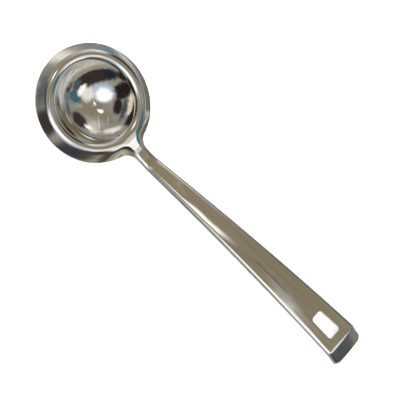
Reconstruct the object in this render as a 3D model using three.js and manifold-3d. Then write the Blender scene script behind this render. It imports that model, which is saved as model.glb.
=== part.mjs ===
// Round serving spoon, pressed from polished stainless sheet: a shallow drawn bowl with a
// turned-down lip, a crowned handle with a hanging slot and a bent tip, and the weld across
// the neck that joins the two. Millimetres, +Z up. The spoon lies as it is put down on a
// table, on the round underside of its bowl and on the edge of its bent tip.

import * as THREE from 'three';
import { LoftGeometry } from 'three/addons/geometries/LoftGeometry.js';
import { mergeVertices } from 'three/addons/utils/BufferGeometryUtils.js';
import Module from 'manifold-3d';

// Sheet and bowl
const sheet = 1.5;
const rimDiameter = 90; // trimmed edge of the lip
const mouthDiameter = 61; // where the hollow meets the rounded rim
const hollowRadius = 41; // inside radius of the hollow
const rimRounding = 6.3; // from the hollow over to the crest of the rim
const lipAngle = 36; // degrees that the lip is turned down
const lipFold = 2.2; // half width of the soft fold between crest and lip

// Neck and weld
const neckWidth = 12;
const neckDip = 2.9; // top of the neck below the crest of the rim
const neckFillet = 10; // plan radius from the rim into the neck
const neckStub = 2; // straight neck left on the bowl past the fillets
const neckSideWidth = 2; // plan width of each turned-down side
const neckSideAngle = 35; // degrees that the sides are turned down
const neckFold = 1.4;
const weldWidth = 2;
const weldCrown = 0.4; // bead left standing under the neck
const fusionGap = 0.3; // between the weld and each edge that it joins

// Handle
const neckBendRadius = 28;
const handleRise = 17.5; // degrees above the plane of the rim, just past the neck
const handleArch = 1000; // radius of the long arch between the two bends
const handleLength = 189.5; // along that arch
const handleEndWidth = 31.8;
const handleCrown = 0.6; // rise of the middle above the edges, before they turn down
const edgeWidth = 2; // plan width of the turned-down edge at the wide end
const edgeAngle = 30;
const edgeFold = 1.2;
const edgeFade = 110; // length over which the neck's sides become the handle's edges
const tipBendRadius = 5;
const tipAngle = 25; // degrees that the tip is bent down
const tipLength = 11.5;
const tipCorner = 3.5;

// Hanging slot, wider towards the tip
const slotLength = 20.7;
const slotNeckWidth = 9.9;
const slotTipWidth = 11.8;
const slotCorner = 2.6;
const slotMargin = 6; // from the slot to the start of the tip's bend

// Facets
const hollowSteps = 10;
const roundingSteps = 5;
const lipSteps = 7;
const neckEndSteps = 4;
const filletSteps = 6;
const rimSteps = 26;
const acrossSteps = 16;
const bendSteps = 6;
const archSteps = 22;
const cornerSteps = 5;
const curveSteps = 6;

const rad = THREE.MathUtils.degToRad;
const polished = { color: 0xc9cbcc, metalness: 1, roughness: 0.1 };
const ground = { color: 0xb9b8b4, metalness: 1, roughness: 0.28 };

// Places worked out from the sizes. The crest of the rim is at height 0 and the bowl's
// axis at x = 0, with the handle along +X.
const rimRadius = rimDiameter / 2;
const mouthRadius = mouthDiameter / 2;
const mouthAngle = Math.asin(mouthRadius / hollowRadius);
const crestRadius = mouthRadius + rimRounding * Math.sin(mouthAngle);
const mouthHeight = -rimRounding * (1 - Math.cos(mouthAngle));
const hollowCentre = mouthHeight + hollowRadius * Math.cos(mouthAngle);
const neckHalf = neckWidth / 2;
const filletY = neckHalf + neckFillet;
const filletX = Math.sqrt((rimRadius + neckFillet) ** 2 - filletY ** 2);
const filletAngle = Math.atan2(filletY, filletX);
const neckEnd = filletX + neckStub;
const weldStart = neckEnd + fusionGap;
const handleStart = weldStart + weldWidth + fusionGap;
const neckBendLength = neckBendRadius * rad(handleRise);
const tipBendStart = neckBendLength + handleLength;
const tipBendLength = tipBendRadius * rad(tipAngle);
const stripLength = tipBendStart + tipBendLength + tipLength;

// The turned-down sides along the spoon: plan width, tangent of the angle and softness.
const lipSide = {
  width: rimRadius - crestRadius - lipFold,
  slope: Math.tan(rad(lipAngle)),
  fold: lipFold,
};
const neckSide = { width: neckSideWidth, slope: Math.tan(rad(neckSideAngle)), fold: neckFold };
const endSide = { width: edgeWidth, slope: Math.tan(rad(edgeAngle)), fold: edgeFold };

function blendSides(from, to, share) {
  const mix = (key) => THREE.MathUtils.lerp(from[key], to[key], share);
  return { width: mix('width'), slope: mix('slope'), fold: mix('fold') };
}

// Drop of a turned-down side at a distance in from its edge: flat, a soft fold, then straight.
function sideDrop(inset, side) {
  const past = side.width - inset;
  if (past <= -side.fold) return 0;
  if (past >= side.fold) return side.slope * past;
  return side.slope * (past + side.fold) ** 2 / (4 * side.fold);
}

function sideSteepness(inset, side) {
  const past = THREE.MathUtils.clamp((side.width - inset) / side.fold, -1, 1);
  return side.slope * (1 + past) / 2;
}

// Depth of the sheet measured straight down where its surface is steep.
function sheetDepth(steepness) {
  return sheet * Math.sqrt(1 + steepness ** 2);
}

// Drop of the middle line from the crest of the rim to halfway along the neck's fillets.
function neckDrop(x) {
  return neckDip * THREE.MathUtils.smoothstep(x, crestRadius, rimRadius + neckFillet / 2);
}

// Plan distance from a point of the rim or neck to the trimmed edge.
function insetAt(x, y) {
  const aside = Math.abs(y);
  if (Math.atan2(aside, x) >= filletAngle) return rimRadius - Math.hypot(x, y);
  if (x >= filletX) return neckHalf - aside;
  return Math.hypot(x - filletX, aside - filletY) - neckFillet;
}

// Half of the trimmed outline, from the middle of the neck's end round to the far side of the
// rim. Each point also has the angle of the crest point that it is drawn out from.
function outlineHalf() {
  const points = [];
  for (let i = 0; i <= neckEndSteps; i++) {
    points.push({ x: neckEnd, y: neckHalf * i / neckEndSteps });
  }
  const sweep = Math.PI / 2 - filletAngle;
  for (let i = 0; i <= filletSteps; i++) {
    const turn = 1.5 * Math.PI - sweep * i / filletSteps;
    points.push({
      x: filletX + neckFillet * Math.cos(turn),
      y: filletY + neckFillet * Math.sin(turn),
    });
  }
  const lengths = [0];
  for (let i = 1; i < points.length; i++) {
    const step = Math.hypot(points[i].x - points[i - 1].x, points[i].y - points[i - 1].y);
    lengths.push(lengths[i - 1] + step);
  }
  points.forEach((point, i) => {
    point.angle = filletAngle * lengths[i] / lengths.at(-1);
  });
  for (let i = 1; i <= rimSteps; i++) {
    const angle = THREE.MathUtils.lerp(filletAngle, Math.PI, i / rimSteps);
    points.push({ x: rimRadius * Math.cos(angle), y: rimRadius * Math.sin(angle), angle });
  }
  return points;
}

// Whole outline, clockwise from above.
function outline() {
  const half = outlineHalf();
  const mirrored = half.map(({ x, y, angle }) => ({ x, y: -y, angle: -angle }));
  return [...mirrored, ...half.slice(1, -1).reverse()];
}

// Radius and height of the hollow and the rim's rounding, from the axis to the crest,
// at a depth into the sheet.
function hollowProfile(depth) {
  const profile = [];
  const radius = hollowRadius + depth;
  for (let i = 0; i <= hollowSteps; i++) {
    const angle = mouthAngle * i / hollowSteps;
    profile.push({ r: radius * Math.sin(angle), z: hollowCentre - radius * Math.cos(angle) });
  }
  const rounding = rimRounding - depth;
  for (let i = 1; i <= roundingSteps; i++) {
    const angle = mouthAngle * (1 - i / roundingSteps);
    profile.push({
      r: crestRadius - rounding * Math.sin(angle),
      z: rounding * Math.cos(angle) - rimRounding,
    });
  }
  return profile;
}

// The bowl is one skin of rings: up the hollow, over the crest, out along the lip and the
// neck's stub, round the trimmed edge and back underneath.
function bowlGeometry() {
  const edge = outline();
  const hollowRing = ({ r, z }) =>
    edge.map(({ angle }) => new THREE.Vector3(r * Math.cos(angle), r * Math.sin(angle), z));
  const lipRing = (share, under) =>
    edge.map((point) => {
      const x = THREE.MathUtils.lerp(crestRadius * Math.cos(point.angle), point.x, share);
      const y = THREE.MathUtils.lerp(crestRadius * Math.sin(point.angle), point.y, share);
      const side = blendSides(lipSide, neckSide, THREE.MathUtils.smoothstep(x, mouthRadius, neckEnd));
      const inset = insetAt(x, y);
      const depth = under ? sheetDepth(sideSteepness(inset, side)) : 0;
      return new THREE.Vector3(x, y, -sideDrop(inset, side) - neckDrop(x) - depth);
    });
  const shares = Array.from({ length: lipSteps }, (_, i) => (i + 1) / lipSteps);
  const rings = [
    ...hollowProfile(0).map(hollowRing),
    ...shares.map((share) => lipRing(share, false)),
    ...shares.toReversed().map((share) => lipRing(share, true)),
    ...hollowProfile(sheet).toReversed().map(hollowRing),
  ];
  return new LoftGeometry(rings);
}

// Cross-section of the strip as across and up pairs, counter-clockwise from the tip end.
function stripSection(half, side, crown, bead) {
  const top = [];
  const under = [];
  for (let i = 0; i <= acrossSteps; i++) {
    const share = Math.sin(Math.PI / 2 * (2 * i / acrossSteps - 1));
    const across = half * share;
    const inset = half - Math.abs(across);
    const up = -sideDrop(inset, side) - crown * share ** 2;
    const steepness = sideSteepness(inset, side) + 2 * crown * Math.abs(share) / half;
    top.push([across, up]);
    under.push([across, up - sheetDepth(steepness) - bead]);
  }
  return [...under, ...top.toReversed()];
}

// Place and slope of the strip's top middle line at a length from its start.
function spineAt(length) {
  const place = { x: handleStart, z: -neckDip, angle: 0 };
  const advance = (run) => {
    place.x += run * Math.cos(place.angle);
    place.z += run * Math.sin(place.angle);
  };
  const turn = (run, radius, way) => {
    const angle = run / radius;
    const chord = 2 * radius * Math.sin(angle / 2);
    place.angle += way * angle / 2;
    advance(chord);
    place.angle += way * angle / 2;
  };
  turn(Math.min(length, neckBendLength), neckBendRadius, 1);
  turn(THREE.MathUtils.clamp(length - neckBendLength, 0, handleLength), handleArch, -1);
  turn(THREE.MathUtils.clamp(length - tipBendStart, 0, tipBendLength), tipBendRadius, -1);
  advance(Math.max(length - tipBendStart - tipBendLength, 0));
  return place;
}

// Half width of the strip: a straight taper, with rounded corners at the tip.
function halfWidthAt(length) {
  const taper = Math.min(length / tipBendStart, 1);
  const half = THREE.MathUtils.lerp(neckHalf, handleEndWidth / 2, taper);
  const short = Math.max(tipCorner - (stripLength - length), 0);
  return half - tipCorner + Math.sqrt(tipCorner ** 2 - short ** 2);
}

function stripRing(length) {
  const { x, z, angle } = spineAt(length);
  const share = THREE.MathUtils.smoothstep(length, 0, edgeFade);
  const section = stripSection(
    halfWidthAt(length),
    blendSides(neckSide, endSide, share),
    handleCrown * share,
    0,
  );
  return section.map(([across, up]) =>
    new THREE.Vector3(x - up * Math.sin(angle), across, z + up * Math.cos(angle)));
}

function handleBlank() {
  const lengths = [];
  const spread = (from, to, steps) => {
    for (let i = 0; i < steps; i++) lengths.push(THREE.MathUtils.lerp(from, to, i / steps));
  };
  const cornerStart = Math.max(stripLength - tipCorner, tipBendStart + tipBendLength);
  spread(0, neckBendLength, bendSteps);
  spread(neckBendLength, tipBendStart, archSteps);
  spread(tipBendStart, tipBendStart + tipBendLength, bendSteps);
  spread(tipBendStart + tipBendLength, cornerStart, 1);
  for (let i = 0; i <= cornerSteps; i++) {
    const turn = Math.PI / 2 * i / cornerSteps;
    lengths.push(THREE.MathUtils.lerp(cornerStart, stripLength, Math.sin(turn)));
  }
  const rings = lengths.filter((length, i) => length !== lengths[i - 1]).map(stripRing);
  return new LoftGeometry(rings, { capStart: true, capEnd: true });
}

// Closed outline through the corners, each rounded by a curve that starts a reach before it.
function roundedShape(corners, reach) {
  const shape = new THREE.Shape();
  corners.forEach((corner, i) => {
    const before = corners.at(i - 1);
    const after = corners[(i + 1) % corners.length];
    const start = corner.clone().add(before.clone().sub(corner).setLength(reach));
    const end = corner.clone().add(after.clone().sub(corner).setLength(reach));
    if (i === 0) shape.moveTo(start.x, start.y);
    else shape.lineTo(start.x, start.y);
    shape.quadraticCurveTo(corner.x, corner.y, end.x, end.y);
  });
  shape.closePath();
  return shape;
}

// Punch for the hanging slot, standing square to the handle.
function slotPunch() {
  const slotStart = tipBendStart - slotMargin - slotLength;
  const corners = [
    new THREE.Vector2(0, -slotNeckWidth / 2),
    new THREE.Vector2(slotLength, -slotTipWidth / 2),
    new THREE.Vector2(slotLength, slotTipWidth / 2),
    new THREE.Vector2(0, slotNeckWidth / 2),
  ];
  const reach = handleCrown + sheet;
  const punch = new THREE.ExtrudeGeometry(roundedShape(corners, slotCorner), {
    depth: 3 * reach,
    bevelEnabled: false,
    curveSegments: curveSteps,
  });
  punch.translate(0, 0, -2 * reach);
  const { x, z, angle } = spineAt(slotStart);
  punch.rotateY(-angle);
  return punch.translate(x, 0, z);
}

const wasm = await Module();
wasm.setup();

function toSolid(geometry) {
  const bare = new THREE.BufferGeometry().copy(geometry);
  bare.deleteAttribute('normal');
  bare.deleteAttribute('uv');
  const merged = mergeVertices(bare);
  return new wasm.Manifold(new wasm.Mesh({
    numProp: 3,
    vertProperties: merged.attributes.position.array,
    triVerts: Uint32Array.from(merged.index.array),
  }));
}

function toGeometry(solid) {
  const { vertProperties, triVerts } = solid.getMesh();
  const geometry = new THREE.BufferGeometry();
  geometry.setAttribute('position', new THREE.BufferAttribute(vertProperties, 3));
  geometry.setIndex(new THREE.BufferAttribute(triVerts, 1));
  geometry.computeVertexNormals();
  return geometry;
}

function handleGeometry() {
  return toGeometry(toSolid(handleBlank()).subtract(toSolid(slotPunch())));
}

// The weld fills the neck's section between the two edges, flush on top, with a low bead under it.
function weldGeometry() {
  const rings = [0, 0.5, 1].map((share) => {
    const bead = weldCrown * Math.sin(Math.PI * share);
    const section = stripSection(neckHalf, neckSide, 0, bead);
    return section.map(([across, up]) =>
      new THREE.Vector3(weldStart + weldWidth * share, across, up - neckDip));
  });
  return new LoftGeometry(rings, { capStart: true, capEnd: true });
}

function piece(name, geometry, finish) {
  const mesh = new THREE.Mesh(geometry, new THREE.MeshStandardMaterial(finish));
  mesh.name = name;
  return mesh;
}

// Tilt at which a point of the handle comes down to the table that the bowl stands on.
function tiltToTable(x, z) {
  const height = z - hollowCentre;
  const fall = Math.asin((hollowRadius + sheet) / Math.hypot(x, height));
  return fall + Math.atan2(height, x);
}

function restTilt(geometry) {
  const { array } = geometry.attributes.position;
  let tilt = Math.PI / 2;
  for (let i = 0; i < array.length; i += 3) {
    tilt = Math.min(tilt, tiltToTable(array[i], array[i + 2]));
  }
  return tilt;
}

const handle = handleGeometry();
const spoon = new THREE.Group();
spoon.add(piece('bowl', bowlGeometry(), polished));
spoon.add(piece('handle', handle, polished));
spoon.add(piece('neck_weld', weldGeometry(), ground));
spoon.rotation.y = restTilt(handle);

// The origin is under the middle of the spoon, on the table.
const box = new THREE.Box3().setFromObject(spoon, true);
const middle = box.getCenter(new THREE.Vector3());
spoon.position.set(-middle.x, -middle.y, -box.min.z);

const servingSpoon = new THREE.Group();
servingSpoon.add(spoon);

export default servingSpoon;
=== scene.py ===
import bpy
import numpy as np
from mathutils import Matrix, Vector


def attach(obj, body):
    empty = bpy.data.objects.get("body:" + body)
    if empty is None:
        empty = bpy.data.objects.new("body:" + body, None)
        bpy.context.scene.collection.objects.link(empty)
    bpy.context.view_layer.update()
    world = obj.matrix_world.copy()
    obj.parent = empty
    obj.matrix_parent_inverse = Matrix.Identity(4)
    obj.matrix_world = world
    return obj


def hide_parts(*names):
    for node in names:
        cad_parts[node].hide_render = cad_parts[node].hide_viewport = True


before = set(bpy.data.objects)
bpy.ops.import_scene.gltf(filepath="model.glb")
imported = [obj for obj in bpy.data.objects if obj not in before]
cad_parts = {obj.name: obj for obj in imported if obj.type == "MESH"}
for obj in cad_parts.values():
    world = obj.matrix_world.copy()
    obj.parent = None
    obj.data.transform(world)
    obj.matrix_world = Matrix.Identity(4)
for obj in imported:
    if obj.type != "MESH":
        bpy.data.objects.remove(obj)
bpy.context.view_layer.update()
print("frame loaded:", ", ".join(sorted(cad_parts)))

# the spoon's own frame, in mm: x along the handle, crest of the rim at height 0
rest = {"tilt": 0.18318884, "shift": (-109.976164, 0.0, 17.613459)}  # how it lies on the table
metresPerMm = 0.001
edgeRoom = 1.25  # a sheet's top stops this many edge radii short of its trimmed edge
edgeShare = 0.49  # an edge's radius stays under this share of the sheet
colourA, colourB, colourOut = 6, 7, 2  # sockets of a Mix node that mixes colours
valueA, valueB, valueOut = 2, 3, 0  # and of one that mixes plain values


def smoothShare(x, start, end):  # eases from 0 at start to 1 at end: 3 t squared less 2 t cubed
    t = np.clip((x - start) / (end - start), 0.0, 1.0)
    return t * t * (3.0 - 2.0 * t)


def mix(a, b, share):  # straight blend from a to b
    return a + (b - a) * share


def blendSides(a, b, share):  # a side is its plan width, the tangent of its angle, its fold
    return [mix(p, q, share) for p, q in zip(a, b)]


# drop of a turned-down side: flat, a parabola within one fold of the bend line, then straight
def sideDrop(inset, side):
    width, slope, fold = side
    past = np.clip(width - inset, -fold, None)
    return np.where(past >= fold, slope * past, slope * (past + fold) ** 2 / (4.0 * fold))


# how fast that drop grows: evenly from 0 to the full slope across the bend
def sideSteepness(inset, side):
    width, slope, fold = side
    return slope * (1.0 + np.clip((width - inset) / fold, -1.0, 1.0)) / 2.0


def unit(v):  # each vector divided by its length
    return v / np.maximum(np.linalg.norm(v, axis=-1, keepdims=True), 1e-12)


def stack(*parts):  # coordinates side by side, one point per row
    return np.stack(np.broadcast_arrays(*parts), axis=-1)


# faces of a grid whose rows run outwards or along and whose columns go round, closed on itself
def ringFaces(rows, cols):
    i, j = np.meshgrid(np.arange(rows - 1), np.arange(cols), indexing="ij")
    k = (j + 1) % cols
    return stack(i * cols + j, (i + 1) * cols + j, (i + 1) * cols + k, i * cols + k).reshape(-1, 4)


# a sheet edge rounded over: quarter turn, flat, quarter turn, from a top edge point, its normal
# and the direction out of the sheet
def roundEdge(top, normal, out, radius, sheet, steps):
    turn = np.linspace(0.0, np.pi / 2, steps)
    radius = np.asarray(radius)[..., None]
    sheet = np.asarray(sheet)[..., None]
    upper = [top + out * radius * (np.sin(a) - 1) - normal * radius * (1 - np.cos(a))
             for a in turn]
    lower = [top + out * radius * (np.cos(a) - 1) - normal * (sheet - radius + radius * np.sin(a))
             for a in turn]
    return upper + lower


# puts points, in mm, on the table as one mesh; satin is a function of the points and their normals
# that says how matt the metal is there
def makePiece(name, node, slot, points, faces, caps, finish, satin):
    smooth = np.arange(len(faces) + len(caps)) < len(faces)  # cut ends stay flat
    faces = list(faces) + list(caps)
    corners = np.concatenate([np.asarray(f) for f in faces])
    used, corners = np.unique(corners, return_inverse=True)  # leaves out points that no face uses
    faces = np.split(corners, np.cumsum([len(f) for f in faces])[:-1])
    x, y, z = np.asarray(points, dtype=float)[used].T
    c, s = np.cos(rest["tilt"]), np.sin(rest["tilt"])
    placed = (stack(c * x + s * z, y, c * z - s * x) + np.array(rest["shift"])) * metresPerMm
    mesh = bpy.data.meshes.new(name)
    mesh.from_pydata(placed.tolist(), [], [list(map(int, f)) for f in faces])
    mesh.polygons.foreach_set("use_smooth", smooth)
    mesh.materials.append(finish)
    mesh.update()
    mesh.validate()
    normals = np.empty(3 * len(used))
    mesh.vertex_normals.foreach_get("vector", normals)
    matt = mesh.attributes.new("satin", "FLOAT", "POINT")
    matt.data.foreach_set("value", satin(stack(x, y, z), normals.reshape(-1, 3)))
    piece = bpy.data.objects.new(name, mesh)
    bpy.context.scene.collection.objects.link(piece)
    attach(piece, "root")
    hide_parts(node)
    print(name, "made:", len(mesh.vertices), "points,", len(mesh.polygons), "faces")


# sRGB hex to the linear values that shaders use
def linear(code):
    s = np.array([int(code[i:i + 2], 16) for i in (1, 3, 5)]) / 255.0
    values = np.where(s <= 0.04045, s / 12.92, ((s + 0.055) / 1.055) ** 2.4)
    return tuple(float(c) for c in values) + (1.0,)


def noiseScale(spacing):  # a noise texture's scale, per metre, from a spacing in mm
    return 1000.0 / spacing


# adds a node with its settings; an input is a value or the socket that feeds it
def addNode(tree, kind, inputs, **settings):
    node = tree.nodes.new(kind)
    for name, value in settings.items():
        setattr(node, name, value)
    for key, value in inputs.items():
        if isinstance(value, bpy.types.NodeSocket):
            tree.links.new(value, node.inputs[key])
        else:
            node.inputs[key].default_value = value
    return node


# stainless sheet, drawn, then mirror polished on a mop: sharp reflections that ripple a little
# where the sheet was drawn, a faint haze in wiped patches, hairlines from use, and satin where a
# mop reaches badly
steelLook = {
    "colour": "#D0CECB", "roughness": 0.02, "haze": 0.06, "hairRoughness": 0.03,
    "wallSatin": 0.2, "sideSatin": 0.3, "lipSatin": 0.1,
    "rippleSpacing": 9.0, "rippleHeight": 0.012, "smearSpacing": 16.0, "lineSpacing": 2.5,
    "hairSpacing": 0.5,  # real hairlines are about 0.05 mm apart, drawn coarser so that they show
    "smearRange": (0.42, 0.68), "lineRange": (0.35, 0.7), "hairRange": (0.62, 0.74),
}


# noise makes ripples, roughness and lines; a stretch below 1 draws the lines out along that axis,
# and lineColour is their tone
def polishedSteelFinish(name, stretch, lineColour):
    finish = bpy.data.materials.new(name)
    finish.use_nodes = True
    tree = finish.node_tree
    shader = tree.nodes["Principled BSDF"]
    place = addNode(tree, "ShaderNodeTexCoord", {}).outputs["Object"]
    lined = addNode(tree, "ShaderNodeMapping", {"Vector": place, "Scale": stretch})
    lined = lined.outputs["Vector"]
    noise = {}
    for key, vector, detail in (("smear", place, 3.0), ("hair", lined, 2.0),
                                ("line", lined, 3.0), ("ripple", place, 1.0)):
        scale = noiseScale(steelLook[key + "Spacing"])
        noise[key] = addNode(tree, "ShaderNodeTexNoise", {
            "Vector": vector, "Scale": scale, "Detail": detail}).outputs["Fac"]
    spread = {}  # roughness for smears and hairs, and the lines' share
    for key, least, most in (("smear", steelLook["roughness"], steelLook["haze"]),
                             ("hair", 0.0, steelLook["hairRoughness"]), ("line", 0.0, 1.0)):
        low, high = steelLook[key + "Range"]
        spread[key] = addNode(tree, "ShaderNodeMapRange", {
            "Value": noise[key], "From Min": low, "From Max": high,
            "To Min": least, "To Max": most}).outputs["Result"]
    satin = addNode(tree, "ShaderNodeAttribute", {}, attribute_name="satin").outputs["Fac"]
    rough = addNode(tree, "ShaderNodeMath", {0: spread["smear"], 1: spread["hair"]},
                    operation="ADD")
    rough = addNode(tree, "ShaderNodeMath", {0: rough.outputs["Value"], 1: satin}, operation="ADD")
    tint = addNode(tree, "ShaderNodeMix", {
        "Factor": spread["line"], colourA: linear(steelLook["colour"]),
        colourB: linear(lineColour)}, data_type="RGBA")
    bump = addNode(tree, "ShaderNodeBump", {
        "Height": noise["ripple"], "Distance": steelLook["rippleHeight"] * metresPerMm,
        "Strength": 1.0})
    tree.links.new(tint.outputs[colourOut], shader.inputs["Base Color"])
    tree.links.new(rough.outputs["Value"], shader.inputs["Roughness"])
    tree.links.new(bump.outputs["Normal"], shader.inputs["Normal"])
    shader.inputs["Metallic"].default_value = 1.0
    return finish


bowlSteel = polishedSteelFinish("mirrorPolishedStainlessBowl", (1.0, 0.25, 1.0), "#CBC8C0")
handleSteel = polishedSteelFinish("mirrorPolishedStainlessHandle", (0.03, 1.0, 1.0), "#C6BFB2")

# stainless weld: polished with the sheet above, left satin below with a faint straw and blue heat
# tint
weldLook = {
    "steel": "#D0CECB", "satin": "#A9A59C", "straw": "#B39B6C", "blue": "#7F8798",
    "tintSpacing": 3.0, "tintShare": 0.35, "grit": 0.25,
    "polishedRoughness": 0.06, "satinRoughness": (0.24, 0.42),
}
weldSteel = bpy.data.materials.new("groundStainlessWeld")
weldSteel.use_nodes = True
weldTree = weldSteel.node_tree
weldShader = weldTree.nodes["Principled BSDF"]
weldPlace = addNode(weldTree, "ShaderNodeTexCoord", {}).outputs["Object"]
below = addNode(weldTree, "ShaderNodeAttribute", {}, attribute_name="satin").outputs["Fac"]
heat = addNode(weldTree, "ShaderNodeTexNoise", {
    "Vector": weldPlace, "Scale": noiseScale(weldLook["tintSpacing"]), "Detail": 2.0})
grit = addNode(weldTree, "ShaderNodeTexNoise", {
    "Vector": weldPlace, "Scale": noiseScale(weldLook["grit"]), "Detail": 1.0})
heatColour = addNode(weldTree, "ShaderNodeMix", {
    "Factor": heat.outputs["Fac"], colourA: linear(weldLook["straw"]),
    colourB: linear(weldLook["blue"])}, data_type="RGBA")
satinColour = addNode(weldTree, "ShaderNodeMix", {
    "Factor": weldLook["tintShare"], colourA: linear(weldLook["satin"]),
    colourB: heatColour.outputs[colourOut]}, data_type="RGBA")
weldColour = addNode(weldTree, "ShaderNodeMix", {
    "Factor": below, colourA: linear(weldLook["steel"]),
    colourB: satinColour.outputs[colourOut]}, data_type="RGBA")
satinRough = addNode(weldTree, "ShaderNodeMapRange", {
    "Value": grit.outputs["Fac"], "To Min": weldLook["satinRoughness"][0],
    "To Max": weldLook["satinRoughness"][1]})
weldRough = addNode(weldTree, "ShaderNodeMix", {
    "Factor": below, valueA: weldLook["polishedRoughness"], valueB: satinRough.outputs["Result"]})
weldTree.links.new(weldColour.outputs[colourOut], weldShader.inputs["Base Color"])
weldTree.links.new(weldRough.outputs[valueOut], weldShader.inputs["Roughness"])
weldShader.inputs["Metallic"].default_value = 1.0
print("finishes made")

# bowl and neck
bowlShape = {
    "sheet": 1.5, "rimRadius": 45.0, "mouthRadius": 30.5, "hollowRadius": 41.0, "rimRounding": 6.3,
    "lipAngle": 36.0, "lipFold": 2.2, "lipBulge": 0.08, "edgeRounding": 0.45,
    "weldedEdge": 0.02, "edgeEase": 1.5,  # the edge is square at the weld and rounds over from it
    "hollowRows": 46, "roundingRows": 20, "lipRows": 32, "edgeSteps": 5,
    "crispRow": 0.05,  # mm from the last row of the top to the one before, to keep the edge crisp
    "neckColumns": 14, "filletColumns": 24, "rimColumns": 112,
}
neckShape = {"half": 6.0, "dip": 2.9, "fillet": 10.0, "stub": 2.0,
             "sideWidth": 2.0, "sideAngle": 35.0, "fold": 1.4}
weldShape = {"width": 2.0, "gap": 0.3, "bead": 0.4, "rippleSpacing": 0.9, "rippleShare": 0.15,
             "rows": 15, "satinLean": (0.2, -0.2)}  # satin where the normal points down

sheet = bowlShape["sheet"]
mouthAngle = np.arcsin(bowlShape["mouthRadius"] / bowlShape["hollowRadius"])
crestRadius = bowlShape["mouthRadius"] + bowlShape["rimRounding"] * np.sin(mouthAngle)
hollowCentre = (bowlShape["hollowRadius"] * np.cos(mouthAngle)
                - bowlShape["rimRounding"] * (1 - np.cos(mouthAngle)))
filletY = neckShape["half"] + neckShape["fillet"]
filletX = np.sqrt((bowlShape["rimRadius"] + neckShape["fillet"]) ** 2 - filletY ** 2)
filletAngle = np.arctan2(filletY, filletX)
neckEnd = filletX + neckShape["stub"]
weldStart = neckEnd + weldShape["gap"]
handleStart = weldStart + weldShape["width"] + weldShape["gap"]
lipSide = (bowlShape["rimRadius"] - crestRadius - bowlShape["lipFold"],
           np.tan(np.radians(bowlShape["lipAngle"])), bowlShape["lipFold"])
neckSide = (neckShape["sideWidth"], np.tan(np.radians(neckShape["sideAngle"])), neckShape["fold"])


# plan distance to the trimmed edge: the rim's circle, the fillets or the neck's straight sides
def insetAt(x, y):
    aside = np.abs(y)
    rim = bowlShape["rimRadius"] - np.hypot(x, y)
    fillet = np.hypot(x - filletX, aside - filletY) - neckShape["fillet"]
    return np.where(np.arctan2(aside, x) >= filletAngle, rim,
                    np.where(x >= filletX, neckShape["half"] - aside, fillet))


# height outside the crest: the side's drop with a slight bulge, and the dip of the middle line
# towards the neck
def lipHeight(x, y):
    side = blendSides(lipSide, neckSide, smoothShare(x, bowlShape["mouthRadius"], neckEnd))
    dipEnd = bowlShape["rimRadius"] + neckShape["fillet"] / 2
    inset = insetAt(x, y)
    t = np.clip(inset / lipSide[0], 0.0, 1.0)
    swell = 6.75 * t * (1 - t) ** 2  # a cubic whose peak is 1
    bulge = bowlShape["lipBulge"] * swell * (1 - smoothShare(x, bowlShape["mouthRadius"], filletX))
    return bulge - sideDrop(inset, side) - neckShape["dip"] * smoothShare(x, crestRadius, dipEnd)


# normal of that surface, from the heights one small step to each side
def lipNormal(x, y, step=0.02):
    slopeX = (lipHeight(x + step, y) - lipHeight(x - step, y)) / (2 * step)
    slopeY = (lipHeight(x, y + step) - lipHeight(x, y - step)) / (2 * step)
    return unit(stack(-slopeX, -slopeY, np.ones_like(slopeX)))


# trimmed outline, counter-clockwise from the middle of the neck's end: across the end, along the
# neck, round the fillet and the rim, then mirrored; with the angle of the crest point that each of
# its points is drawn out from, and how far it lies from the neck's end
def bowlOutline():
    across = np.linspace(0.0, neckShape["half"], bowlShape["neckColumns"] + 1)
    turn = 1.5 * np.pi - np.linspace(0.0, np.pi / 2 - filletAngle, bowlShape["filletColumns"] + 1)
    x = np.concatenate([np.full_like(across, weldStart),
                        filletX + neckShape["fillet"] * np.cos(turn)])
    y = np.concatenate([across, filletY + neckShape["fillet"] * np.sin(turn)])
    run = np.concatenate([[0.0], np.cumsum(np.hypot(np.diff(x), np.diff(y)))])
    angle = filletAngle * run / run[-1]
    past = np.clip(run - neckShape["half"], 0.0, None)  # distance from the neck's end
    rimAngle = np.linspace(filletAngle, np.pi, bowlShape["rimColumns"] + 1)[1:]
    x = np.concatenate([x, bowlShape["rimRadius"] * np.cos(rimAngle)])
    y = np.concatenate([y, bowlShape["rimRadius"] * np.sin(rimAngle)])
    angle = np.concatenate([angle, rimAngle])
    past = np.concatenate([past, np.full_like(rimAngle, past[-1])])
    back = slice(-2, 0, -1)
    return (np.concatenate([x, x[back]]), np.concatenate([y, -y[back]]),
            np.concatenate([angle, -angle[back]]), np.concatenate([past, past[back]]))


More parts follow.
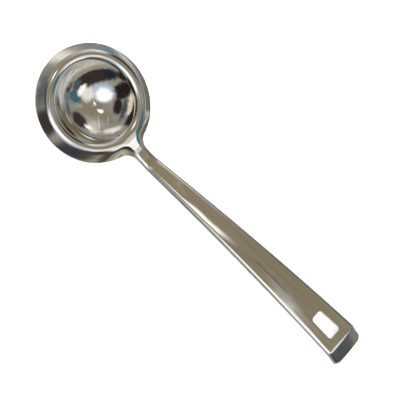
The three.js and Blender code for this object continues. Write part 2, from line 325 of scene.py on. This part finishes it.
# rings up the hollow on one circle's arc, over the crest on another and out along the lip, then the
# same rings one sheet deeper
def bowlSkin():
    xEdge, yEdge, angle, past = bowlOutline()
    direction = stack(np.cos(angle), np.sin(angle), np.zeros_like(angle))
    radius, rounding = bowlShape["hollowRadius"], bowlShape["rimRounding"]
    phi = np.linspace(0.0, mouthAngle, bowlShape["hollowRows"] + 1)[1:]
    psi = np.linspace(mouthAngle, 0.0, bowlShape["roundingRows"] + 1)[1:]
    r = np.concatenate([radius * np.sin(phi), crestRadius - rounding * np.sin(psi)])
    z = np.concatenate([hollowCentre - radius * np.cos(phi), rounding * np.cos(psi) - rounding])
    lean = np.concatenate([phi, psi])
    top = r[:, None, None] * direction + stack(0.0, 0.0, z)[:, None, :]
    normal = stack(0.0, 0.0, np.cos(lean))[:, None, :] - np.sin(lean)[:, None, None] * direction

    edgeRadius = mix(bowlShape["weldedEdge"], bowlShape["edgeRounding"],
                     smoothShare(past, 0.0, bowlShape["edgeEase"]))
    xCrest, yCrest = crestRadius * direction[:, 0], crestRadius * direction[:, 1]
    reach = np.hypot(xEdge - xCrest, yEdge - yCrest)
    last = 1.0 - edgeRoom * edgeRadius / reach
    share = np.linspace(0.0, 1.0, bowlShape["lipRows"] + 1)[1:, None] * last
    share = np.concatenate([share[:-1], share[-1:] - bowlShape["crispRow"] / reach, share[-1:]])
    x = mix(xCrest, xEdge, share)
    y = mix(yCrest, yEdge, share)
    top = np.concatenate([top, stack(x, y, lipHeight(x, y))])
    normal = np.concatenate([normal, lipNormal(x, y)])

    edge = stack(xEdge, yEdge, lipHeight(xEdge, yEdge))
    edgeNormal = lipNormal(xEdge, yEdge)
    along = unit(np.roll(edge, -1, axis=0) - np.roll(edge, 1, axis=0))
    out = unit(np.cross(along, edgeNormal))
    rounded = roundEdge(edge, edgeNormal, out, edgeRadius, np.full_like(edgeRadius, sheet),
                        bowlShape["edgeSteps"])
    under = (top - sheet * normal)[::-1]
    rings = np.concatenate([top, np.array(rounded), under])
    rows, cols = rings.shape[:2]
    poles = [[0.0, 0.0, hollowCentre - radius], [0.0, 0.0, hollowCentre - radius - sheet]]
    points = np.concatenate([rings.reshape(-1, 3), poles])
    first = np.arange(cols)
    after = np.roll(first, -1)
    base = rows * cols
    fans = [stack(np.full(cols, base), first, after),
            stack(np.full(cols, base + 1), (rows - 1) * cols + after, (rows - 1) * cols + first)]
    return points, list(ringFaces(rows, cols)) + list(fans[0]) + list(fans[1]), []


# where satin bands begin and end: mm from the mouth, from the crest or along x, or a normal's lean
satinBands = {
    "wallInside": (-4.0, -1.5), "wallOutside": (3.5, 1.0), "wallFar": (5.0, -18.0),
    "lipOutside": (1.5, 3.5), "lipNeck": (40.0, 34.0), "sideLean": (0.15, 0.5),
}


# the turned-down sides are less polished than the top: satin grows as the normal leans sideways
def sideSatin(points, normals):
    return steelLook["sideSatin"] * smoothShare(np.abs(normals[:, 1]), *satinBands["sideLean"])


# satin on the bowl, a sum of soft bands: the far wall at the mouth, the lip outside the crest and
# the neck's sides
def bowlSatin(points, normals):
    x = points[:, 0]
    radius = np.hypot(x, points[:, 1])
    fromMouth, fromCrest = radius - bowlShape["mouthRadius"], radius - crestRadius
    wall = (smoothShare(fromMouth, *satinBands["wallInside"])
            * smoothShare(fromMouth, *satinBands["wallOutside"])
            * smoothShare(x, *satinBands["wallFar"]))
    lip = smoothShare(fromCrest, *satinBands["lipOutside"]) * smoothShare(x, *satinBands["lipNeck"])
    side = sideSatin(points, normals) * smoothShare(x, crestRadius, bowlShape["rimRadius"])
    return steelLook["wallSatin"] * wall + steelLook["lipSatin"] * lip + side


makePiece("bowl_skin", "bowl", "polished_steel", *bowlSkin(), bowlSteel, bowlSatin)

# handle, with its slot
handleShape = {
    "bendRadius": 28.0, "rise": 17.5, "arch": 1000.0, "length": 189.5, "endHalf": 15.9,
    "crown": 0.6, "edgeWidth": 2.0, "edgeAngle": 30.0, "edgeFold": 1.2, "edgeFade": 110.0,
    "edgeRounding": 0.45, "tipRadius": 5.0, "tipAngle": 25.0, "tipLength": 11.5, "tipCorner": 3.5,
    "firstRows": (0.0, 0.04, 0.15),  # close together, to keep the reflection whole across the weld
    "columns": 48, "bendRows": 16, "archRows": 150, "patchRows": 34, "bridgeRows": 4,
    "tipRows": 12, "endRows": 22, "endStop": 1.2, "edgeSteps": 5,
}
slotShape = {
    "length": 20.7, "neckHalf": 4.95, "tipHalf": 5.9, "corner": 2.6, "margin": 6.0,
    "edgeRounding": 0.3, "bendPoints": 25, "rings": 9, "ringSpread": 0.8,
    "patchMargin": 4.0, "patchShare": 0.66,
}

rise = np.radians(handleShape["rise"])
neckBend = handleShape["bendRadius"] * rise
tipStart = neckBend + handleShape["length"]
tipBend = handleShape["tipRadius"] * np.radians(handleShape["tipAngle"])
stripLength = tipStart + tipBend + handleShape["tipLength"]
slotStart = tipStart - slotShape["margin"] - slotShape["length"]
endSide = (handleShape["edgeWidth"], np.tan(np.radians(handleShape["edgeAngle"])),
           handleShape["edgeFold"])


# middle line: level before the start, an arc up, the long arch, the tip's arc down, straight
def spineAt(s):
    x = handleStart + np.minimum(s, 0.0)
    z = np.full_like(x, -neckShape["dip"])
    angle = np.zeros_like(x)
    bends = ((0.0, neckBend, handleShape["bendRadius"], 1.0),
             (neckBend, handleShape["length"], handleShape["arch"], -1.0),
             (tipStart, tipBend, handleShape["tipRadius"], -1.0))
    for start, run, radius, way in bends:
        new = angle + way * np.clip(s - start, 0.0, run) / radius
        x = x + way * radius * (np.sin(new) - np.sin(angle))
        z = z + way * radius * (np.cos(angle) - np.cos(new))
        angle = new
    past = np.clip(s - tipStart - tipBend, 0.0, None)
    return x + past * np.cos(angle), z + past * np.sin(angle), angle


def halfWidthAt(s):  # straight taper, then a quarter circle at each corner of the tip
    half = mix(neckShape["half"], handleShape["endHalf"], np.clip(s / tipStart, 0.0, 1.0))
    corner = handleShape["tipCorner"]
    short = np.clip(corner - (stripLength - s), 0.0, corner)
    return half - corner + np.sqrt(corner ** 2 - short ** 2)


# a point of the top and its normal, from the length along the strip and the distance across it: the
# middle line less the side's drop, and less a crown that grows with the square of that distance
def stripTop(s, across):
    s, across = np.broadcast_arrays(s, across)
    x, z, angle = spineAt(s)
    half = halfWidthAt(s)
    share = smoothShare(s, 0.0, handleShape["edgeFade"])
    side = blendSides(neckSide, endSide, share)
    inset = half - np.abs(across)
    crown = handleShape["crown"] * share
    up = -sideDrop(inset, side) - crown * (across / half) ** 2
    slope = -np.sign(across) * sideSteepness(inset, side) - 2 * crown * across / half ** 2
    point = stack(x - up * np.sin(angle), across, z + up * np.cos(angle))
    return point, unit(stack(-np.sin(angle), -slope, np.cos(angle)))


# spacing across a strip, from -1 to 1: the sine of even steps, closer towards the edges
def acrossSteps(columns):
    return np.sin(np.pi / 2 * np.linspace(-1.0, 1.0, columns + 1))


# one closed section per length: top, rounded edge, underside, rounded edge; squeeze is how far the
# top and the underside each draw in, and bead is what the underside gains
def stripRings(s, squeeze, columns, rounding, steps, bead=None):
    half = halfWidthAt(s)
    thick = sheet - 2 * squeeze
    radius = np.minimum(rounding, edgeShare * thick)
    across = (half - edgeRoom * radius)[:, None] * acrossSteps(columns)
    top, normal = stripTop(s[:, None], across)
    deep = thick[:, None, None]
    if bead is not None:
        deep = deep + bead(s[:, None], across)[..., None]
    upper = top - normal * squeeze[:, None, None]
    under = (upper - normal * deep)[:, ::-1]
    sides = []
    for way in (1.0, -1.0):
        edge, edgeNormal = stripTop(s, way * half)
        edge = edge - edgeNormal * squeeze[:, None]
        out = unit(np.array([0.0, way, 0.0]) - edgeNormal * way * edgeNormal[:, 1:2])
        rounded = np.array(roundEdge(edge, edgeNormal, out, radius, thick, steps))
        sides.append(rounded.transpose(1, 0, 2))
    return np.concatenate([upper, sides[0], under, sides[1][:, ::-1]], axis=1)


# a strip's flat end: quads between its top and its underside, and one face at each rounded side
def stripCap(columns, steps, base, flip):
    j = np.arange(columns)
    lower = 2 * (columns + 1) + 2 * steps - 1 - j
    quads = stack(base + j, base + j + 1, base + lower - 1, base + lower)
    right = base + np.arange(columns, columns + 2 * steps + 2)
    left = base + np.append(np.arange(2 * columns + 2 * steps + 1, 2 * columns + 4 * steps + 2), 0)
    faces = [list(q) for q in quads] + [list(right), list(left)]
    return [f[::-1] for f in faces] if flip else faces


# outline of the slot as a closed run of points, each side from one corner's middle to the next;
# a corner is a parabola between its two sides
def slotOutline(sideCounts):
    length, reach = slotShape["length"], slotShape["corner"]
    corners = np.array([(0.0, -slotShape["neckHalf"]), (length, -slotShape["tipHalf"]),
                        (length, slotShape["tipHalf"]), (0.0, slotShape["neckHalf"])])
    t = np.linspace(0.0, 1.0, slotShape["bendPoints"])[:, None]
    middle = slotShape["bendPoints"] // 2
    before, after = np.roll(corners, 1, axis=0), np.roll(corners, -1, axis=0)
    start = corners + unit(before - corners) * reach
    end = corners + unit(after - corners) * reach
    bends = [(1 - t) ** 2 * a + 2 * t * (1 - t) * c + t ** 2 * b
             for a, c, b in zip(start, corners, end)]
    points = []
    for k, count in enumerate(sideCounts):
        run = np.concatenate([bends[k][middle:], bends[(k + 1) % len(bends)][:middle + 1]])
        steps = np.linalg.norm(np.diff(run, axis=0), axis=1)
        along = np.concatenate([[0.0], np.cumsum(steps)])
        want = np.linspace(0.0, along[-1], count + 1)[:-1]
        points.append(stack(np.interp(want, along, run[:, 0]), np.interp(want, along, run[:, 1])))
    points = np.concatenate(points)
    along = unit(np.roll(points, -1, axis=0) - np.roll(points, 1, axis=0))
    outwards = stack(along[:, 1], -along[:, 0])
    return points + np.array([slotStart, 0.0]), outwards


# the strip is a run of rings; inside one patch of it rings close in on the slot and go through it
def handleSkin():
    columns, steps = handleShape["columns"], handleShape["edgeSteps"]
    patchStart = slotStart - slotShape["patchMargin"]
    patchEnd = slotStart + slotShape["length"] + slotShape["patchMargin"]
    cornerStart = stripLength - handleShape["tipCorner"]
    turn = np.linspace(0.0, np.pi / 2, steps + 1)
    endRadius = handleShape["edgeRounding"]
    bendStart = handleShape["firstRows"][-1]
    spans = [np.array(handleShape["firstRows"][:-1]),
             np.linspace(bendStart, neckBend, handleShape["bendRows"])[:-1],
             np.linspace(neckBend, patchStart, handleShape["archRows"])[:-1],
             np.linspace(patchStart, patchEnd, handleShape["patchRows"] + 1)[:-1],
             np.linspace(patchEnd, tipStart, handleShape["bridgeRows"])[:-1],
             np.linspace(tipStart, tipStart + tipBend, handleShape["tipRows"])[:-1],
             np.linspace(tipStart + tipBend, cornerStart, handleShape["tipRows"])[:-1]]
    toEnd = np.sin(np.linspace(0.0, np.pi / 2, handleShape["endRows"]))
    corner = mix(cornerStart, stripLength, toEnd)
    spans.append(corner[corner < stripLength - handleShape["endStop"] * endRadius])
    s = np.concatenate(spans)
    squeeze = np.concatenate([np.zeros_like(s), endRadius * (1 - np.cos(turn))])
    s = np.concatenate([s, stripLength - endRadius * (1 - np.sin(turn))])
    rings = stripRings(s, squeeze, columns, handleShape["edgeRounding"], steps)
    rows, cols = rings.shape[:2]
    points = rings.reshape(-1, 3)

    iA = int(np.argmin(np.abs(s - patchStart)))
    iB = iA + handleShape["patchRows"]
    tau = acrossSteps(columns)
    jA = int(np.argmin(np.abs(tau + slotShape["patchShare"])))
    jB = columns - jA
    i, j = np.divmod(np.arange((rows - 1) * cols), cols)
    lowStart = columns + 1 + 2 * steps
    inTop = (j >= jA) & (j < jB)
    inLow = (j >= lowStart + jA) & (j < lowStart + jB)
    kept = ~((i >= iA) & (i < iB) & (inTop | inLow))
    faces = list(ringFaces(rows, cols)[kept])
    caps = stripCap(columns, steps, 0, False) + stripCap(columns, steps, (rows - 1) * cols, True)

    ranI, ranJ = np.arange(iA, iB), np.arange(jA, jB)
    loopI = np.concatenate([ranI, np.full(jB - jA, iB), ranI[::-1] + 1, np.full(jB - jA, iA)])
    loopJ = np.concatenate([np.full(iB - iA, jA), ranJ, np.full(iB - iA, jB), ranJ[::-1] + 1])
    topLoop = loopI * cols + loopJ
    lowLoop = loopI * cols + lowStart + columns - loopJ
    width = halfWidthAt(s) - edgeRoom * handleShape["edgeRounding"]
    outer = stack(s[loopI], width[loopI] * tau[loopJ])
    inner, outwards = slotOutline([iB - iA, jB - jA, iB - iA, jB - jA])
    rounding = slotShape["edgeRounding"]
    rimRing = inner + edgeRoom * rounding * outwards
    evenly = np.linspace(0.0, 1.0, slotShape["rings"] + 1)[1:, None, None]
    flat = mix(outer, rimRing, evenly ** slotShape["ringSpread"])
    top, normal = stripTop(flat[..., 0], flat[..., 1])
    edge, edgeNormal = stripTop(inner[:, 0], inner[:, 1])
    angle = spineAt(inner[:, 0])[2]
    out = (-outwards[:, :1] * stack(np.cos(angle), 0.0 * angle, np.sin(angle))
           - outwards[:, 1:] * np.array([0.0, 1.0, 0.0]))
    out = unit(out - edgeNormal * np.sum(out * edgeNormal, axis=1, keepdims=True))
    count = len(inner)
    rounded = np.array(roundEdge(edge, edgeNormal, out, np.full(count, rounding),
                                 np.full(count, sheet), steps))
    patch = np.concatenate([top, rounded, (top - sheet * normal)[::-1]])
    index = len(points) + np.arange(len(patch) * count).reshape(len(patch), count)
    loops = np.concatenate([topLoop[None], index, lowLoop[None]])
    after = np.roll(loops, -1, axis=1)
    faces += list(stack(loops[:-1], after[:-1], after[1:], loops[1:]).reshape(-1, 4))
    return np.concatenate([points, patch.reshape(-1, 3)]), faces, caps


makePiece("handle_skin", "handle", "polished_steel", *handleSkin(), handleSteel, sideSatin)


# weld between the two: flush above, a low rippled bead below, as half a sine along and a cosine
# across
def weldSkin():
    start = weldStart - handleStart
    s = np.linspace(start, 0.0, weldShape["rows"])
    ripple = weldShape["rippleShare"]

    def bead(length, across):
        hump = np.sin(np.pi * (length - start) / -start)
        wave = np.cos(2 * np.pi * across / weldShape["rippleSpacing"])
        return weldShape["bead"] * hump * (1 - ripple + ripple * wave)

    columns, steps = handleShape["columns"], handleShape["edgeSteps"]
    rings = stripRings(s, np.zeros_like(s), columns, handleShape["edgeRounding"], steps, bead)
    rows, cols = rings.shape[:2]
    caps = stripCap(columns, steps, 0, False) + stripCap(columns, steps, (rows - 1) * cols, True)
    return rings.reshape(-1, 3), list(ringFaces(rows, cols)), caps


def weldSatin(points, normals):  # polished above, satin below
    return smoothShare(normals[:, 2], *weldShape["satinLean"])


makePiece("weld_bead", "neck_weld", "ground_weld", *weldSkin(), weldSteel, weldSatin)

# plain pale floor, in m; in the steel it glows instead, with painted shade: grey close to the bowl,
# where the bowl would shade it, and white farther off
floorLook = {
    "size": 6.0, "colour": "#F6F6F5", "near": "#807E77", "far": "#FFFFFF",
    "bowlMiddle": (-0.11, 0.0, 0.0), "shadeStart": 0.15, "shadeEnd": 0.32,
}
bpy.ops.mesh.primitive_plane_add(size=floorLook["size"], location=(0.0, 0.0, 0.0))
floor = bpy.context.object
floor.name = "floor"
floorPaint = bpy.data.materials.new("paleSweep")
floorPaint.use_nodes = True
floorTree = floorPaint.node_tree
floorTree.nodes.clear()
inSteel = addNode(floorTree, "ShaderNodeLightPath", {}).outputs["Is Glossy Ray"]
pale = addNode(floorTree, "ShaderNodeBsdfDiffuse", {"Color": linear(floorLook["colour"])})
floorPlace = addNode(floorTree, "ShaderNodeTexCoord", {}).outputs["Object"]
away = addNode(floorTree, "ShaderNodeVectorMath", {0: floorPlace, 1: floorLook["bowlMiddle"]},
               operation="DISTANCE")
away = addNode(floorTree, "ShaderNodeMapRange", {
    "Value": away.outputs["Value"], "From Min": floorLook["shadeStart"],
    "From Max": floorLook["shadeEnd"]}, interpolation_type="SMOOTHSTEP")
# painted shadow: the glow that the steel sees is grey near the bowl and white farther off
shade = addNode(floorTree, "ShaderNodeMix", {
    "Factor": away.outputs["Result"], colourA: linear(floorLook["near"]),
    colourB: linear(floorLook["far"])}, data_type="RGBA")
paintedShadeGlow = addNode(floorTree, "ShaderNodeEmission", {"Color": shade.outputs[colourOut]})
seen = addNode(floorTree, "ShaderNodeMixShader", {
    0: inSteel, 1: pale.outputs["BSDF"], 2: paintedShadeGlow.outputs["Emission"]})
addNode(floorTree, "ShaderNodeOutputMaterial", {"Surface": seen.outputs["Shader"]})
floor.data.materials.append(floorPaint)

# studio: an even white room, and in the steel alone a grey one with soft oval lamps and cards,
# whose edges wobble and whose light is mottled a little
roomLook = {
    "white": 2.6, "base": "#8B8A85", "lift": 1.6, "grazing": 0.05,
    "wobble": 0.2, "wobbleScale": 8.0, "wobbleDetail": 5.0, "wobbleRoughness": 0.62,
    "mottle": 0.12, "mottleScale": 2.5, "mottleDetail": 2.0, "mottleRange": (0.3, 0.7),
}
cards = {
    "white": "#FFFFFF", "pale": "#E4E4DE", "sky": "#C6D3E4", "sand": "#D6CCBC", "stone": "#97958A",
    "khaki": "#857E6B", "slate": "#5E6970", "teal": "#436774", "brown": "#2C2421",
    "night": "#1C2430",
}
# painted over one another in this order: azimuth and elevation of the middle, half width and half
# height, all in degrees, softness, roll in degrees, card, gain
panels = [
    (86, 65, 48, 24, 0.4, 0, "khaki", 1.0),
    (112, 44, 26, 12, 0.6, 0, "stone", 1.0),
    (112, 6, 20, 10, 0.6, 0, "slate", 1.4),
    (114, 27, 8, 6, 0.8, 0, "pale", 1.0),
    (147, 28, 14, 6, 0.7, 0, "pale", 1.0),
    (122, 46, 1.2, 15, 0.7, 8, "pale", 0.7),
    (150, 52, 1.0, 13, 0.7, -20, "pale", 0.5),
    (82, 27, 15, 14, 0.3, 0, "brown", 1.6),
    (110, 36, 10, 12, 0.7, 0, "pale", 0.7),
    (103, 29, 6, 4, 0.8, 0, "white", 1.0),
    (330, 60, 26, 17, 0.6, 0, "sky", 0.7),
    (14, 54, 14, 13, 0.5, 0, "white", 0.8),
    (38, 29, 9, 15, 0.25, 0, "teal", 1.0),
    (28, 8, 12, 6, 0.5, 0, "night", 1.0),
    (47, 11, 8, 6, 0.6, 0, "slate", 1.2),
    (63, 11, 9, 6, 0.5, 0, "slate", 0.8),
    (55, 38, 4, 11, 0.5, 0, "pale", 0.4),
    (337, 31, 44, 16, 0.3, 0, "brown", 1.5),
    (300, 25, 14, 10, 0.5, 0, "night", 1.2),
    (278, 17, 13, 8, 0.4, 0, "brown", 0.8),
    (196, 22, 23, 10, 0.25, 0, "brown", 0.8),
    (214, 58, 18, 9, 0.3, 0, "brown", 1.0),
    (256, 39, 16, 21, 0.25, 0, "brown", 0.7),
    (216, 31, 20, 5, 0.3, -8, "sand", 1.0),
    (204, 44, 24, 5, 0.6, 0, "slate", 0.5),
    (340, 7, 54, 9, 0.4, 0, "stone", 0.9),
    (340, -3, 56, 8, 0.6, 0, "stone", 1.8),
    (18, 24, 11, 6, 0.6, 0, "slate", 0.6),
    (16, 39, 12, 6, 0.45, 0, "white", 1.0),
    (114, 75, 4, 2.5, 0.9, 0, "pale", 0.5),
    (124, 75.5, 5, 3, 0.8, 0, "pale", 2.2),
    (58, 72.5, 5, 2, 0.9, 0, "pale", 0.45),
    (41, 75, 3, 2.2, 0.8, 0, "pale", 1.5),
    (74, 71, 3, 1.0, 0.8, 0, "khaki", 0.6),
    (304, 67, 19, 14, 0.7, 0, "sky", 1.0),
    (300, 71, 13, 11, 0.7, 0, "white", 1.5),
]

world = bpy.data.worlds.new("studio")
bpy.context.scene.world = world
world.use_nodes = True
room = world.node_tree
room.nodes.clear()
direction = addNode(room, "ShaderNodeTexCoord", {}).outputs["Generated"]
drift = addNode(room, "ShaderNodeTexNoise", {
    "Vector": direction, "Scale": roomLook["wobbleScale"], "Detail": roomLook["wobbleDetail"],
    "Roughness": roomLook["wobbleRoughness"]})
drift = addNode(room, "ShaderNodeVectorMath", {0: drift.outputs["Color"], 1: (0.5, 0.5, 0.5)},
                operation="SUBTRACT")
drift = addNode(room, "ShaderNodeVectorMath", {
    0: drift.outputs["Vector"], 1: (roomLook["wobble"],) * 3, 2: direction},
    operation="MULTIPLY_ADD")
direction = drift.outputs["Vector"]
colour = linear(roomLook["base"])
for azimuth, elevation, halfWidth, halfHeight, soft, roll, card, gain in panels:
    a, e, r = np.radians([azimuth, elevation, roll])
    middle = np.array([np.cos(e) * np.cos(a), np.cos(e) * np.sin(a), np.sin(e)])
    side = np.array([-np.sin(a), np.cos(a), 0.0])
    upward = np.cross(middle, side)
    side, upward = (np.cos(r) * side + np.sin(r) * upward, np.cos(r) * upward - np.sin(r) * side)
    acrossWay = tuple(side / np.tan(np.radians(halfWidth)))
    upWay = tuple(upward / np.tan(np.radians(halfHeight)))
    x, y, ahead = [addNode(room, "ShaderNodeVectorMath", {0: direction, 1: way},
                           operation="DOT_PRODUCT").outputs["Value"]
                   for way in (acrossWay, upWay, tuple(middle))]
    off = addNode(room, "ShaderNodeCombineXYZ", {"X": x, "Y": y})
    off = addNode(room, "ShaderNodeVectorMath", {0: off.outputs["Vector"]}, operation="LENGTH")
    ahead = addNode(room, "ShaderNodeMath", {0: ahead, 1: roomLook["grazing"]},
                    operation="MAXIMUM")  # keeps a card from showing behind
    off = addNode(room, "ShaderNodeMath", {0: off.outputs["Value"], 1: ahead.outputs["Value"]},
                  operation="DIVIDE")
    share = addNode(room, "ShaderNodeMapRange", {
        "Value": off.outputs["Value"], "From Min": 1.0 + soft, "From Max": 1.0 - soft},
        interpolation_type="SMOOTHSTEP")
    paint = tuple(gain * c for c in linear(cards[card])[:3]) + (1.0,)
    colour = addNode(room, "ShaderNodeMix", {
        "Factor": share.outputs["Result"], colourA: colour, colourB: paint},
        data_type="RGBA").outputs[colourOut]
mottle = addNode(room, "ShaderNodeTexNoise", {
    "Vector": direction, "Scale": roomLook["mottleScale"], "Detail": roomLook["mottleDetail"]})
mottle = addNode(room, "ShaderNodeMapRange", {
    "Value": mottle.outputs["Fac"],
    "From Min": roomLook["mottleRange"][0], "From Max": roomLook["mottleRange"][1],
    "To Min": (1.0 - roomLook["mottle"]) * roomLook["lift"],
    "To Max": (1.0 + roomLook["mottle"]) * roomLook["lift"]})
reflected = addNode(room, "ShaderNodeBackground", {
    "Color": colour, "Strength": mottle.outputs["Result"]})
even = addNode(room, "ShaderNodeBackground", {
    "Color": linear(cards["white"]), "Strength": roomLook["white"]})
inSteel = addNode(room, "ShaderNodeLightPath", {}).outputs["Is Glossy Ray"]
seen = addNode(room, "ShaderNodeMixShader", {
    0: inSteel, 1: even.outputs["Background"], 2: reflected.outputs["Background"]})
addNode(room, "ShaderNodeOutputWorld", {"Surface": seen.outputs["Shader"]})
bpy.context.scene.view_settings.view_transform = "Standard"
print("stage made:", len(panels), "panels")

# camera at the photograph's angle
view = {
    "place": (-0.0482, -0.3559, 0.9836), "aim": (0.0419, 0.3455, -0.9375),
    "down": (0.6887, -0.6897, -0.2234), "lens": 126.0, "sensor": 36.0,
}
aim = Vector(view["aim"]).normalized()
right = Vector(view["down"]).cross(aim).normalized()
up = right.cross(aim)
turn = Matrix((right, up, -aim)).transposed().to_4x4()
camera = bpy.data.objects.new("camera", bpy.data.cameras.new("camera"))
camera.data.lens = view["lens"]
camera.data.sensor_width = view["sensor"]
camera.matrix_world = Matrix.Translation(view["place"]) @ turn
bpy.context.scene.collection.objects.link(camera)
bpy.context.scene.camera = camera
